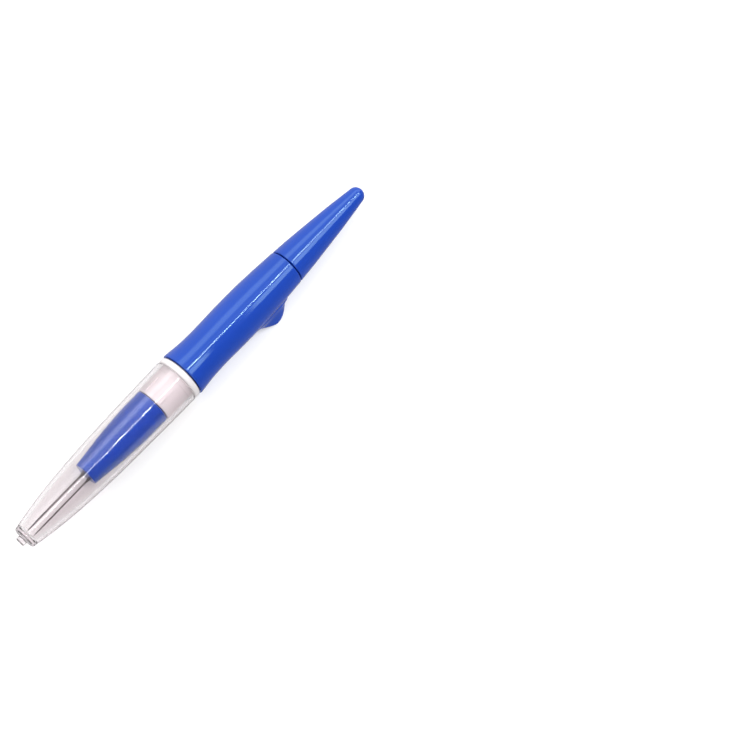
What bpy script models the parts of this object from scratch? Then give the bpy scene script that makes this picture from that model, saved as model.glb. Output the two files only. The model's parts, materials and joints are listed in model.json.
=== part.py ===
"""Needle felting pen: a clear cap over three barbed needles, a nose cone, a white
needle holder, a waisted barrel with an anti-roll lug, and a pointed tail cone.

Stations are millimetres along the pen from the closed end of the cap, and the
needles point towards -X.  The pen lies on a table at z = 0.  It rests on the
flare and the belly of its barrel and on the lug, so its axis dips slightly
towards the tail.  The origin is the bottom centre of the whole pen.
"""
import math

import bmesh
import bpy
from mathutils import Vector

MM = 0.001
GAP = 0.3                  # clearance between touching pieces
OVERCUT = 1.0              # how far a cutter runs past what it cuts
FACETS = 24                # around a turned piece, with one flat facet underneath
NEEDLE_FACETS = 8

# Stations of the joints between the pieces along the pen.
SEAM = 0.45                # open groove at each end of the barrel
CAP_MOUTH = 73.1
NOSE_FRONT = 29.2
NOSE_REAR = 61.6
RING_FRONT = CAP_MOUTH + GAP
RING_REAR = RING_FRONT + 2.3
BARREL_FRONT = RING_REAR + SEAM
BARREL_REAR = BARREL_FRONT + 52.0
TAIL_FRONT = BARREL_REAR + SEAM
TAIL_TIP = TAIL_FRONT + 38.3

# Cap.
NIB_LENGTH = 1.9
NIB_RADIUS = 1.75
CAP_END_RADIUS = 4.05
CAP_MOUTH_RADIUS = 8.65
CAP_WALL = 1.25
CAP_EDGE = 0.5             # chamfer round the closed end
CAP_STATIONS = (3.0, 6.0, 10.0, 14.0, 19.0, 25.0, 32.0, 41.0, 53.0)

# Needles: two tapers join the blade, the middle stretch and the shank.
NEEDLE_TIP = 2.3
NEEDLE_CIRCLE = 1.75       # radius of the circle that the needles stand on
POINT_LENGTH = 2.5         # the blade tapers to its point over this length
POINT_RADIUS = 0.04
BLADE_RADIUS = 0.35
MIDDLE_RADIUS = 0.6
SHANK_RADIUS = 0.9
BLADE_END = 27.2
MIDDLE_START = 28.8
MIDDLE_END = 51.0
SHANK_START = 53.0
CRANK_BEND = 1.5
CRANK_REACH = 4.9          # distance of the crank's end from the pen's axis
CRANK_REAR = NEEDLE_TIP + 76.0
NEEDLE_ANGLES = (75.0, 195.0, 315.0)   # turned from straight down towards -Y

# Needle holder.
SPIGOT_RADIUS = 6.75
RING_RADIUS = 8.55
HOLDER_EDGE = 0.5          # chamfer on the holder's and the retainer's edges
NOSE_SPIGOT_RADIUS = 4.9
NOSE_SPIGOT_FRONT = NOSE_REAR - 8.0
HOLDER_STEM_RADIUS = 6.3
BORE_RADIUS = SHANK_RADIUS + 0.25
CUP_RADIUS = 5.2
CUP_FLOOR = CRANK_REAR + 0.1
CUP_RIM = CUP_FLOOR + 9.0
RIB_COUNT = 6
RIB_WIDTH = 0.8
RIB_HEIGHT = 0.3
RIB_FRONT = NOSE_REAR + 0.4
RIB_REAR = RING_FRONT - 4.5
RIB_ROOT = SPIGOT_RADIUS - 1.0      # inside the spigot
RETAINER_FLANGE = 1.3
COIN_SLOT_WIDTH = 1.6
COIN_SLOT_DEPTH = 0.8

# Barrel: radius at stations counted from its front.
BARREL_PROFILE = (
    (0.0, 8.8), (3.0, 8.47), (7.0, 8.07), (13.5, 7.87), (24.0, 8.04),
    (34.0, 7.97), (42.0, 7.58), (48.0, 7.2), (BARREL_REAR - BARREL_FRONT, 6.93),
)
BARREL_EDGE = 0.25         # length and height of the chamfer on its front edge
FLARE_STATION = BARREL_FRONT + BARREL_EDGE
FLARE_RADIUS = BARREL_PROFILE[0][1]
BELLY_STATION = BARREL_FRONT + BARREL_PROFILE[5][0]
BELLY_RADIUS = BARREL_PROFILE[5][1]
HOLDER_BORE_RADIUS = HOLDER_STEM_RADIUS + GAP
HOLDER_BORE_END = CUP_RIM + 12.0
BARREL_BORE_RADIUS = 6.0
TAIL_SPIGOT_FRONT = TAIL_FRONT - 9.0
TAIL_SPIGOT_RADIUS = 5.2
TAIL_BORE_RADIUS = TAIL_SPIGOT_RADIUS + GAP
TAIL_BORE_START = TAIL_SPIGOT_FRONT - 1.0

# Anti-roll lug on the barrel: a pyramid with a long base.
LUG_STATION = BARREL_FRONT + 36.5
LUG_HALF_LENGTH = 6.8
LUG_ANGLE = 50.0           # from straight down towards -Y
LUG_TOP = 11.9             # distance of its tip from the pen's axis
LUG_ROOT = 6.5             # inside the barrel's wall
LUG_ROOT_STEP = 0.6        # the base is this high before it narrows
LUG_BASE_HALF_WIDTH = 3.3
LUG_TIP_HALF_WIDTH = 0.7
LUG_END_HALF_WIDTH = 1.6
LUG_FRONT_END = 7.7        # distance of its two ends' tops from the pen's axis
LUG_REAR_END = 7.5
LUG_BULGE = 0.3            # its ridge stands this far above a straight line

# Tail cone: radius at stations counted from its front.
TAIL_TIP_RADIUS = 3.05
TAIL_PROFILE = (
    (0.0, 6.85), (7.5, 6.25), (15.5, 5.42), (23.5, 4.58), (31.0, 3.63),
    (TAIL_TIP - TAIL_FRONT - TAIL_TIP_RADIUS, TAIL_TIP_RADIUS),
)
TAIL_HOLLOW_RADIUS = 4.0
TAIL_HOLLOW_TAPER = TAIL_FRONT + 5.0
TAIL_HOLLOW_END = TAIL_FRONT + 24.0
TAIL_HOLLOW_END_RADIUS = 1.8
KEY_WIDTH = 1.6
KEY_LENGTH = 1.3
KEY_ANGLE = 20.0           # from straight down towards -Y
KEY_ROOT = 4.6             # the key's inner and outer distance from the axis
KEY_TOP = 6.5
NOTCH_TOP = 8.0            # clear of the barrel's outside

# Nose cone: radius at stations counted from its front.
NOSE_PROFILE = (
    (0.0, 4.42), (6.4, 5.17), (12.4, 5.87), (18.4, 6.36), (24.4, 6.62),
    (NOSE_REAR - NOSE_FRONT, 6.62),
)
NOSE_EDGE = 0.3            # chamfer round its front face
NOSE_HOLE_RADIUS = 0.9
NOSE_WALL_REAR = NOSE_FRONT + 3.8   # back of the nose's solid front wall
NOSE_SOCKET_CLEARANCE = 0.25
NOSE_HOLLOW_RADIUS = 4.3   # in front of its socket
NOSE_HOLLOW_FRONT_RADIUS = 3.4

# The pen's axis dips because its flare is fatter than its belly.  Distances to
# the table are taken to the middle of the lowest facet.
TABLE_DROP = FLARE_RADIUS * math.cos(math.pi / FACETS)
BELLY_DROP = BELLY_RADIUS * math.cos(math.pi / FACETS)
REST_TILT = math.atan((TABLE_DROP - BELLY_DROP) / (BELLY_STATION - FLARE_STATION))


def make_material(name, colour, roughness, metallic=0.0, alpha=1.0):
    material = bpy.data.materials.new(name)
    material.use_nodes = True
    shader = material.node_tree.nodes["Principled BSDF"]
    shader.inputs["Base Color"].default_value = (*colour, 1.0)
    shader.inputs["Roughness"].default_value = roughness
    shader.inputs["Metallic"].default_value = metallic
    shader.inputs["Alpha"].default_value = alpha
    return material


def add_object(name, bm, parent, material=None):
    """Turn a bmesh in millimetre stations into an object of the pen."""
    for vertex in bm.verts:
        vertex.co = Vector((vertex.co.x - BARREL_FRONT, vertex.co.y, vertex.co.z)) * MM
    bmesh.ops.recalc_face_normals(bm, faces=bm.faces)
    mesh = bpy.data.meshes.new(name)
    bm.to_mesh(mesh)
    bm.free()
    obj = bpy.data.objects.new(name, mesh)
    bpy.context.collection.objects.link(obj)
    obj.parent = parent
    if material:
        mesh.materials.append(material)
        mesh.shade_smooth()
        mesh.set_sharp_from_angle(angle=math.radians(35))
    else:
        obj.hide_render = True
        obj.display_type = "WIRE"
    return obj


def boolean(obj, cutter, operation="DIFFERENCE"):
    modifier = obj.modifiers.new(cutter.name, "BOOLEAN")
    modifier.operation = operation
    modifier.solver = "EXACT"
    modifier.object = cutter


def direction(angle_deg):
    """Unit vector across the pen, turned from straight down towards -Y."""
    angle = math.radians(angle_deg)
    return Vector((0.0, -math.sin(angle), -math.cos(angle)))


def smooth(profile, start=0.0, step=3.0):
    """Points about step apart on a smooth curve through a profile's points."""
    slopes = []
    for index in range(len(profile)):
        before = profile[max(index - 1, 0)]
        after = profile[min(index + 1, len(profile) - 1)]
        slopes.append((after[1] - before[1]) / (after[0] - before[0]))
    points = []
    for index in range(len(profile) - 1):
        (x0, r0), (x1, r1) = profile[index], profile[index + 1]
        span = x1 - x0
        count = max(1, round(span / step))
        for k in range(count):
            t = k / count
            radius = (
                (1 + 2 * t) * (1 - t) ** 2 * r0
                + t * t * (3 - 2 * t) * r1
                + span * t * (1 - t) * ((1 - t) * slopes[index] - t * slopes[index + 1])
            )
            points.append((start + x0 + t * span, radius))
    points.append((start + profile[-1][0], profile[-1][1]))
    return points


def turned(outline):
    """Body of revolution about the pen's axis from (station, radius) points.

    The outline is either a closed loop clear of the axis, or a line from the
    axis back to the axis.
    """
    bm = bmesh.new()
    rings = []
    for station, radius in outline:
        if radius == 0.0:
            rings.append([bm.verts.new((station, 0.0, 0.0))])
            continue
        ring = []
        for k in range(FACETS):
            offset = direction((k + 0.5) * 360.0 / FACETS) * radius
            ring.append(bm.verts.new((station, offset.y, offset.z)))
        rings.append(ring)
    pairs = list(zip(rings, rings[1:]))
    if outline[0][1] > 0.0:
        pairs.append((rings[-1], rings[0]))
    for ring_a, ring_b in pairs:
        for k in range(FACETS):
            corners = [ring_a[k % len(ring_a)], ring_a[(k + 1) % len(ring_a)]]
            corners += [ring_b[(k + 1) % len(ring_b)], ring_b[k % len(ring_b)]]
            bm.faces.new(list(dict.fromkeys(corners)))
    return bm


def add_prism(bm, corners_front, length):
    """Add a straight prism whose front face has the given corners."""
    front = [bm.verts.new(corner) for corner in corners_front]
    rear = [bm.verts.new(corner + Vector((length, 0.0, 0.0))) for corner in corners_front]
    bm.faces.new(front)
    bm.faces.new(reversed(rear))
    for k in range(len(front)):
        following = (k + 1) % len(front)
        bm.faces.new((front[k], rear[k], rear[following], front[following]))


def block(start, length, angle_deg, low, high, width):
    """Corners of a radial bar's front face, from radius low to radius high."""
    outward = direction(angle_deg)
    across = direction(angle_deg + 90.0) * (width / 2)
    origin = Vector((start, 0.0, 0.0))
    return [
        origin + outward * low - across,
        origin + outward * high - across,
        origin + outward * high + across,
        origin + outward * low + across,
    ], length


def needle_holes(name, start, end, radius, parent):
    """Cutter of three round holes, one for each needle."""
    bm = bmesh.new()
    for angle in NEEDLE_ANGLES:
        centre = direction(angle) * NEEDLE_CIRCLE + Vector((start, 0.0, 0.0))
        corners = [centre + direction((k + 0.5) * 30.0) * radius for k in range(12)]
        add_prism(bm, corners, end - start)
    return add_object(name, bm, parent)


def cap_radius(station):
    """Outside of the cap: a long ogive from its closed end to its mouth."""
    u = station / CAP_MOUTH
    growth = 0.25 * u + 0.75 * (1.0 - (1.0 - u) ** 4)
    return CAP_END_RADIUS + (CAP_MOUTH_RADIUS - CAP_END_RADIUS) * growth


def make_cap(parent, material):
    outside = [(s, cap_radius(s)) for s in CAP_STATIONS]
    inside = [(s, cap_radius(s) - CAP_WALL) for s in CAP_STATIONS]
    outline = [(-NIB_LENGTH, 0.0), (-NIB_LENGTH, NIB_RADIUS), (0.0, NIB_RADIUS)]
    outline += [(0.0, CAP_END_RADIUS - CAP_EDGE), (CAP_EDGE, cap_radius(CAP_EDGE))]
    outline += outside
    outline += [(CAP_MOUTH, CAP_MOUTH_RADIUS), (CAP_MOUTH, CAP_MOUTH_RADIUS - CAP_WALL)]
    outline += reversed(inside)
    inner_end = CAP_WALL + GAP
    outline += [(inner_end, cap_radius(inner_end) - CAP_WALL), (inner_end, 0.0)]
    return add_object("cap", turned(outline), parent, material)


def make_nose_cone(parent, material):
    rear = NOSE_REAR - GAP
    outside = smooth(NOSE_PROFILE, NOSE_FRONT)
    outside[-1] = (rear, outside[-1][1])
    front_radius = NOSE_PROFILE[0][1]
    socket_radius = NOSE_SPIGOT_RADIUS + NOSE_SOCKET_CLEARANCE
    socket_front = NOSE_SPIGOT_FRONT - 1.0
    outline = [(NOSE_FRONT, 0.0), (NOSE_FRONT, front_radius - NOSE_EDGE)]
    outline += [(NOSE_FRONT + NOSE_EDGE, front_radius)]
    outline += outside[1:]
    outline += [
        (rear, socket_radius),
        (socket_front, socket_radius),
        (socket_front - 3.0, NOSE_HOLLOW_RADIUS),
        (NOSE_WALL_REAR, NOSE_HOLLOW_FRONT_RADIUS),
        (NOSE_WALL_REAR, 0.0),
    ]
    nose = add_object("nose_cone", turned(outline), parent, material)
    holes = needle_holes(
        "nose_holes", NOSE_FRONT - OVERCUT, NOSE_WALL_REAR + OVERCUT, NOSE_HOLE_RADIUS, parent
    )
    boolean(nose, holes)
    return nose


def make_needle(name, angle_deg, parent, material):
    """A needle with its blade to the front and its shank bent outwards at the rear."""
    outward = direction(angle_deg)
    bend_centre_station = CRANK_REAR - SHANK_RADIUS - CRANK_BEND
    path = [
        (NEEDLE_TIP, NEEDLE_CIRCLE, POINT_RADIUS),
        (NEEDLE_TIP + POINT_LENGTH, NEEDLE_CIRCLE, BLADE_RADIUS),
        (BLADE_END, NEEDLE_CIRCLE, BLADE_RADIUS),
        (MIDDLE_START, NEEDLE_CIRCLE, MIDDLE_RADIUS),
        (MIDDLE_END, NEEDLE_CIRCLE, MIDDLE_RADIUS),
        (SHANK_START, NEEDLE_CIRCLE, SHANK_RADIUS),
    ]
    for k in range(5):
        turn = math.radians(22.5 * k)
        path.append((
            bend_centre_station + CRANK_BEND * math.sin(turn),
            NEEDLE_CIRCLE + CRANK_BEND * (1.0 - math.cos(turn)),
            SHANK_RADIUS,
        ))
    path.append((bend_centre_station + CRANK_BEND, CRANK_REACH, SHANK_RADIUS))

    bm = bmesh.new()
    along = Vector((1.0, 0.0, 0.0))
    side = along.cross(outward)
    rings = []
    for index, (station, reach, radius) in enumerate(path):
        before = path[max(index - 1, 0)]
        after = path[min(index + 1, len(path) - 1)]
        tangent = along * (after[0] - before[0]) + outward * (after[1] - before[1])
        normal = tangent.normalized().cross(side)
        centre = along * station + outward * reach
        ring = []
        for k in range(NEEDLE_FACETS):
            turn = 2.0 * math.pi * k / NEEDLE_FACETS
            ring.append(bm.verts.new(
                centre + (side * math.cos(turn) + normal * math.sin(turn)) * radius
            ))
        rings.append(ring)
    for ring_a, ring_b in zip(rings, rings[1:]):
        for k in range(NEEDLE_FACETS):
            following = (k + 1) % NEEDLE_FACETS
            bm.faces.new((ring_a[k], ring_a[following], ring_b[following], ring_b[k]))
    bm.faces.new(rings[0])
    bm.faces.new(rings[-1])
    return add_object(name, bm, parent, material)


def make_needle_holder(parent, material):
    """White core: nose spigot, cap spigot, stop ring, and a stem with a cup in it."""
    outline = [
        (NOSE_SPIGOT_FRONT, 0.0),
        (NOSE_SPIGOT_FRONT, NOSE_SPIGOT_RADIUS - HOLDER_EDGE),
        (NOSE_SPIGOT_FRONT + HOLDER_EDGE, NOSE_SPIGOT_RADIUS),
        (NOSE_REAR, NOSE_SPIGOT_RADIUS),
        (NOSE_REAR, SPIGOT_RADIUS),
        (RING_FRONT, SPIGOT_RADIUS),
        (RING_FRONT, RING_RADIUS - HOLDER_EDGE),
        (RING_FRONT + HOLDER_EDGE, RING_RADIUS),
        (RING_REAR - HOLDER_EDGE, RING_RADIUS),
        (RING_REAR, RING_RADIUS - HOLDER_EDGE),
        (RING_REAR, HOLDER_STEM_RADIUS),
        (CUP_RIM, HOLDER_STEM_RADIUS),
        (CUP_RIM, CUP_RADIUS),
        (CUP_FLOOR, CUP_RADIUS),
        (CUP_FLOOR, 0.0),
    ]
    holder = add_object("needle_holder", turned(outline), parent, material)
    bores = needle_holes(
        "holder_bores", NOSE_SPIGOT_FRONT - OVERCUT, CUP_FLOOR + OVERCUT, BORE_RADIUS, parent
    )
    boolean(holder, bores)

    # A three-armed slot in the cup's floor holds the bent ends of the needles.
    half_width = SHANK_RADIUS + GAP
    arm_end = CRANK_REACH + 0.2
    corners = []
    for angle in NEEDLE_ANGLES:
        outward = direction(angle)
        across = direction(angle + 90.0) * half_width
        inner = half_width / math.sin(math.radians(60.0))
        corners += [outward * arm_end - across, outward * arm_end + across]
        corners.append(direction(angle + 60.0) * inner)
    slot_front = CRANK_REAR - 2 * SHANK_RADIUS - GAP
    slot_length = CUP_FLOOR + OVERCUT - slot_front
    bm = bmesh.new()
    add_prism(bm, [Vector((slot_front, 0.0, 0.0)) + corner for corner in corners], slot_length)
    boolean(holder, add_object("crank_slots", bm, parent))

    # Low ribs along the spigot grip the inside of the cap.
    bm = bmesh.new()
    for k in range(RIB_COUNT):
        corners, length = block(
            RIB_FRONT, RIB_REAR - RIB_FRONT, (k + 0.5) * 360.0 / RIB_COUNT,
            RIB_ROOT, SPIGOT_RADIUS + RIB_HEIGHT, RIB_WIDTH,
        )
        add_prism(bm, corners, length)
    boolean(holder, add_object("grip_ribs", bm, parent), "UNION")
    return holder


def make_needle_retainer(parent, material):
    """Plug that presses the bent ends of the needles into their slots."""
    plug_front = CUP_FLOOR + GAP
    plug_radius = CUP_RADIUS - GAP
    flange_front = CUP_RIM + GAP
    flange_rear = flange_front + RETAINER_FLANGE
    flange_radius = HOLDER_STEM_RADIUS - GAP
    outline = [
        (plug_front, 0.0),
        (plug_front, plug_radius - HOLDER_EDGE),
        (plug_front + HOLDER_EDGE, plug_radius),
        (flange_front, plug_radius),
        (flange_front, flange_radius),
        (flange_rear, flange_radius),
        (flange_rear, 0.0),
    ]
    retainer = add_object("needle_retainer", turned(outline), parent, material)
    bm = bmesh.new()
    slot_reach = flange_radius + OVERCUT
    corners, length = block(
        flange_rear - COIN_SLOT_DEPTH, COIN_SLOT_DEPTH + OVERCUT, 90.0,
        -slot_reach, slot_reach, COIN_SLOT_WIDTH,
    )
    add_prism(bm, corners, length)
    boolean(retainer, add_object("coin_slot", bm, parent))
    return retainer


def make_barrel(parent, material):
    outside = smooth(BARREL_PROFILE, BARREL_FRONT)
    outline = [(BARREL_FRONT, FLARE_RADIUS - BARREL_EDGE), (FLARE_STATION, FLARE_RADIUS)]
    outline += outside[1:]
    outline += [
        (BARREL_REAR, TAIL_BORE_RADIUS),
        (TAIL_BORE_START, TAIL_BORE_RADIUS),
        (TAIL_BORE_START, BARREL_BORE_RADIUS),
        (HOLDER_BORE_END, BARREL_BORE_RADIUS),
        (HOLDER_BORE_END, HOLDER_BORE_RADIUS),
        (BARREL_FRONT, HOLDER_BORE_RADIUS),
    ]
    barrel = add_object("barrel", turned(outline), parent, material)
    boolean(barrel, make_lug(parent), "UNION")

    bm = bmesh.new()
    corners, length = block(
        BARREL_REAR - KEY_LENGTH - GAP, KEY_LENGTH + GAP + OVERCUT, KEY_ANGLE,
        KEY_ROOT, NOTCH_TOP, KEY_WIDTH + 2 * GAP,
    )
    add_prism(bm, corners, length)
    boolean(barrel, add_object("key_notch", bm, parent))
    return barrel


def make_lug(parent):
    """Pyramid-shaped lug, trimmed flat where it stands on the table."""
    outward = direction(LUG_ANGLE)
    across = direction(LUG_ANGLE + 90.0)
    half = LUG_HALF_LENGTH / 2
    sections = (
        (-LUG_HALF_LENGTH, LUG_FRONT_END, LUG_END_HALF_WIDTH),
        (-half, (LUG_TOP + LUG_FRONT_END) / 2 + LUG_BULGE, LUG_BASE_HALF_WIDTH),
        (0.0, LUG_TOP, LUG_BASE_HALF_WIDTH),
        (half, (LUG_TOP + LUG_REAR_END) / 2 + LUG_BULGE, LUG_BASE_HALF_WIDTH),
        (LUG_HALF_LENGTH, LUG_REAR_END, LUG_END_HALF_WIDTH),
    )
    bm = bmesh.new()
    loops = []
    for offset, top, base in sections:
        centre = Vector((LUG_STATION + offset, 0.0, 0.0))
        flank = ((LUG_ROOT, base), (LUG_ROOT + LUG_ROOT_STEP, base), (top, LUG_TIP_HALF_WIDTH))
        corners = [centre + outward * height - across * half_width for height, half_width in flank]
        corners += [
            centre + outward * height + across * half_width
            for height, half_width in reversed(flank)
        ]
        loops.append([bm.verts.new(corner) for corner in corners])
    for loop_a, loop_b in zip(loops, loops[1:]):
        for k in range(len(loop_a)):
            following = (k + 1) % len(loop_a)
            bm.faces.new((loop_a[k], loop_a[following], loop_b[following], loop_b[k]))
    bm.faces.new(loops[0])
    bm.faces.new(loops[-1])

    # The table's plane, seen from the tilted pen, passes under the barrel's flare.
    table_normal = Vector((math.sin(REST_TILT), 0.0, -math.cos(REST_TILT)))
    table_point = Vector((FLARE_STATION, 0.0, -TABLE_DROP))
    cut = bmesh.ops.bisect_plane(
        bm, geom=list(bm.verts) + list(bm.edges) + list(bm.faces), dist=1e-5,
        plane_co=table_point, plane_no=table_normal, clear_outer=True,
    )
    rim = [item for item in cut["geom_cut"] if isinstance(item, bmesh.types.BMEdge)]
    bmesh.ops.edgenet_fill(bm, edges=rim)
    return add_object("lug_shape", bm, parent)


def make_tail_cone(parent, material):
    outside = smooth(TAIL_PROFILE, TAIL_FRONT, 4.0)
    round_centre = TAIL_TIP - TAIL_TIP_RADIUS
    tip = []
    for k in range(1, 5):
        turn = math.radians(90.0 * k / 5)
        tip.append((
            round_centre + TAIL_TIP_RADIUS * math.sin(turn),
            TAIL_TIP_RADIUS * math.cos(turn),
        ))
    outline = [(TAIL_TIP, 0.0)]
    outline += reversed(outside + tip)
    outline += [
        (TAIL_FRONT, TAIL_SPIGOT_RADIUS),
        (TAIL_SPIGOT_FRONT, TAIL_SPIGOT_RADIUS),
        (TAIL_SPIGOT_FRONT, TAIL_HOLLOW_RADIUS),
        (TAIL_HOLLOW_TAPER, TAIL_HOLLOW_RADIUS),
        (TAIL_HOLLOW_END, TAIL_HOLLOW_END_RADIUS),
        (TAIL_HOLLOW_END, 0.0),
    ]
    tail = add_object("tail_cone", turned(outline), parent, material)
    bm = bmesh.new()
    corners, length = block(
        TAIL_FRONT - KEY_LENGTH, KEY_LENGTH + OVERCUT, KEY_ANGLE, KEY_ROOT, KEY_TOP, KEY_WIDTH
    )
    add_prism(bm, corners, length)
    boolean(tail, add_object("key_shape", bm, parent), "UNION")
    return tail


def stand_on_origin(pen):
    """Move the pen so that the origin is the bottom centre of the whole pen."""
    depsgraph = bpy.context.evaluated_depsgraph_get()
    corners = []
    for obj in bpy.context.scene.objects:
        if obj.type == "MESH" and not obj.hide_render:
            shape = obj.evaluated_get(depsgraph)
            corners += [shape.matrix_world @ vertex.co for vertex in shape.data.vertices]
    for axis in (0, 1):
        values = [corner[axis] for corner in corners]
        pen.location[axis] = -(min(values) + max(values)) / 2
    pen.location.z = -min(corner.z for corner in corners)


def main():
    for obj in list(bpy.data.objects):
        bpy.data.objects.remove(obj, do_unlink=True)

    blue = make_material("blue_plastic", (0.03, 0.13, 0.68), 0.22)
    white = make_material("white_plastic", (0.86, 0.81, 0.80), 0.35)
    clear = make_material("clear_plastic", (0.90, 0.86, 0.87), 0.08, alpha=0.3)
    steel = make_material("needle_steel", (0.42, 0.40, 0.41), 0.25, metallic=1.0)

    pen = bpy.data.objects.new("pen_axis", None)
    bpy.context.collection.objects.link(pen)
    pen.rotation_euler = (0.0, REST_TILT, 0.0)

    make_cap(pen, clear)
    make_nose_cone(pen, blue)
    for index, angle in enumerate(NEEDLE_ANGLES):
        make_needle(f"needle_{index + 1}", angle, pen, steel)
    make_needle_holder(pen, white)
    make_needle_retainer(pen, white)
    make_barrel(pen, blue)
    make_tail_cone(pen, blue)
    stand_on_origin(pen)


main()
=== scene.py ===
"""Looks of the needle felting pen: fine moulded shells, barbed needles, a clear cap,
a white floor, soft studio light and the camera.

Stations are millimetres along the pen from the closed end of the cap, and angles
are degrees about the pen, turned from straight down towards -y, as in the CAD
model.  The pen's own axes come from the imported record: x along the pen, y to its
side, z up.
"""

import json
import math

import bmesh
import bpy
from mathutils import Matrix, Vector


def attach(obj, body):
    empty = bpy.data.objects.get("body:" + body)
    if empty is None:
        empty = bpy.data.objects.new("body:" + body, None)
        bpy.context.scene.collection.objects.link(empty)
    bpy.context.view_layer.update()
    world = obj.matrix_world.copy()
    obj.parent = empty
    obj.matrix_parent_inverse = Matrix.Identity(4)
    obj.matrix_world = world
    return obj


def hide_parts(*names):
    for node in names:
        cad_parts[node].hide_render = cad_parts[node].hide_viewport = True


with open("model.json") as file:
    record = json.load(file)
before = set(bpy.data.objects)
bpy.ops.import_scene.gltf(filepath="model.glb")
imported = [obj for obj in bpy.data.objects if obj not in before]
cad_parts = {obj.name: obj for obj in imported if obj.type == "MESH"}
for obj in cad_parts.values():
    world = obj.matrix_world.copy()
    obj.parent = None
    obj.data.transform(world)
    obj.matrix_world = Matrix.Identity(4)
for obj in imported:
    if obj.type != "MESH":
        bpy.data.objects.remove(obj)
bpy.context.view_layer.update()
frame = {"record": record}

MM = 0.001
GAP = 0.3                  # clearance of loose fits and between neighbours
FIT = 0.25                 # clearance of push fits
SEAM = 0.45                # open groove at each end of the barrel
AROUND = 144               # steps round a turned piece
OVERSHOOT = 1.0            # how far a cutter runs out past what it cuts
SHARP = 40.0               # edges that turn more degrees than this stay sharp
BARREL_SHARP = 60.0
RIB_SHARP = 35.0

# Stations and radii, in millimetres.
NIB_LENGTH = 1.9
NIB_RADIUS = 1.75
CAP_END_RADIUS = 4.05
CAP_MOUTH = 73.1
CAP_MOUTH_RADIUS = 8.65
CAP_WALL = 1.25
CAP_STRAIGHT = 0.25        # share of its growth in width that is even along it
CAP_LIP = 1.0              # width of the mouth's flat lip, outside the lead-in
CAP_LEAD_IN = 2.1
CAP_END_STATIONS = [1.6 + 0.75 * k for k in range(14)]
CAP_SIDE_STATIONS = [12.5 + 1.25 * k for k in range(48)]
CAP_CORNER = 1.5           # radius of the closed end's outer corner
CAP_INNER_CORNER = 2.0     # and of its inner corner
CAP_INNER_WIDEST = 2.2     # the inner end is as wide as the bore would be here
CAP_INSIDE_START = 3.5     # the inside follows the outside from here on
NOSE_FRONT = 29.2
NOSE_REAR = 61.6
RING_FRONT = CAP_MOUTH + GAP
RING_REAR = RING_FRONT + 2.3
BARREL_FRONT = RING_REAR + SEAM
BARREL_REAR = BARREL_FRONT + 52.0
TAIL_FRONT = BARREL_REAR + SEAM
TAIL_TIP = TAIL_FRONT + 38.3

NEEDLE_ANGLES = (75.0, 195.0, 315.0)
NEEDLE_CIRCLE = 1.75
NEEDLE_TIP = 2.3
BLADE_END = 27.2
MIDDLE_START = 28.8
MIDDLE_END = 51.0
SHANK_START = 53.0
BLADE_RADIUS = 0.35
MIDDLE_RADIUS = 0.6
SHANK_RADIUS = 0.9
CRANK_BEND = 1.5
CRANK_BEND_STEPS = 8
CRANK_REACH = 4.9
CRANK_CHAMFER = 0.15
CRANK_REAR = NEEDLE_TIP + 76.0
NEEDLE_STEPS = 24          # steps round a needle
# Sections near the point: distance behind the tip, radius, roundness.
POINT_SECTIONS = ((0.0, 0.03, 0.3), (0.5, 0.09, 0.2))
POINT_TAPER = 6.0          # length over which a blade grows to its full size
POINT_SHARE = 0.3          # the size it grows from, as a share of that
BLADE_ROUNDNESS = 0.12
BLADE_TRUNCATION = 0.93    # how far out the triangle's corners reach
BLADE_START = 1.0          # first plain section, behind the tip
BLADE_STEP = 0.6           # between plain sections
BLADE_SECTIONS = 39
BLADE_TAIL = 0.1           # free of plain sections ahead of the blade's end
BLADE_END_SECTIONS = ((0.0, BLADE_RADIUS, 0.15), (0.8, 0.48, 0.6))  # behind its end
BARB_STATIONS = tuple(round(NEEDLE_TIP + 4.0 + 1.1 * k, 3) for k in range(9))
BARB_SECTIONS = (-0.02, 0.0, 0.12, 0.5)  # extra sections, behind each barb's station
BARB_DEPTH = 0.2           # share of the blade's size
BARB_LENGTH = 0.5
BARB_FLAT = 0.1            # length of a barb's deepest part
BARB_HALF_ANGLE = 12.0     # degrees round the blade
BARB_TOLERANCE = 0.01

HOLE_SIDES = 24
NOSE_HOLE_RADIUS = 0.9
HOLDER_HOLE_RADIUS = SHANK_RADIUS + FIT

SPIGOT_RADIUS = 6.75
RING_RADIUS = 8.55
NOSE_SPIGOT_RADIUS = 4.9
NOSE_SPIGOT_FRONT = NOSE_REAR - 8.0
SOCKET_END_GAP = 1.0       # ahead of the holder's front spigot
NOSE_WALL = 3.8            # length of the solid front with the needle holes
NOSE_SHOULDER = 3.0        # length of the slope ahead of the spigot's socket
NOSE_BORE_FRONT = 3.4      # radii of the bore between the wall and the slope
NOSE_BORE_REAR = 4.3
STEM_RADIUS = 6.3
CUP_RADIUS = 5.2
CRANK_SLOT_LENGTH = 4.0    # runs out into the cup
CRANK_SLOT_END_GAP = 0.2
CUP_FLOOR = CRANK_REAR + 0.1
CUP_RIM = CUP_FLOOR + 9.0
RIB_COUNT = 6
RIB_FRONT = NOSE_REAR + 0.4
RIB_REAR = RING_FRONT - 4.5
RIB_SLOPE = 1.0            # length of its sloped front end
RIB_ROOT = 1.0             # depth of its foot below the spigot's surface
RIB_HEIGHT = 0.3
RIB_BASE_WIDTH = 0.8
RIB_CREST_WIDTH = 0.55

FLANGE_THICKNESS = 1.3     # of the needle retainer
COIN_SLOT_ANGLE = 90.0
COIN_SLOT_DEPTH = 0.8
COIN_SLOT_WIDTH = 1.6
COIN_SLOT_CUT = 2.0        # its cutter runs out past the flange

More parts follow.
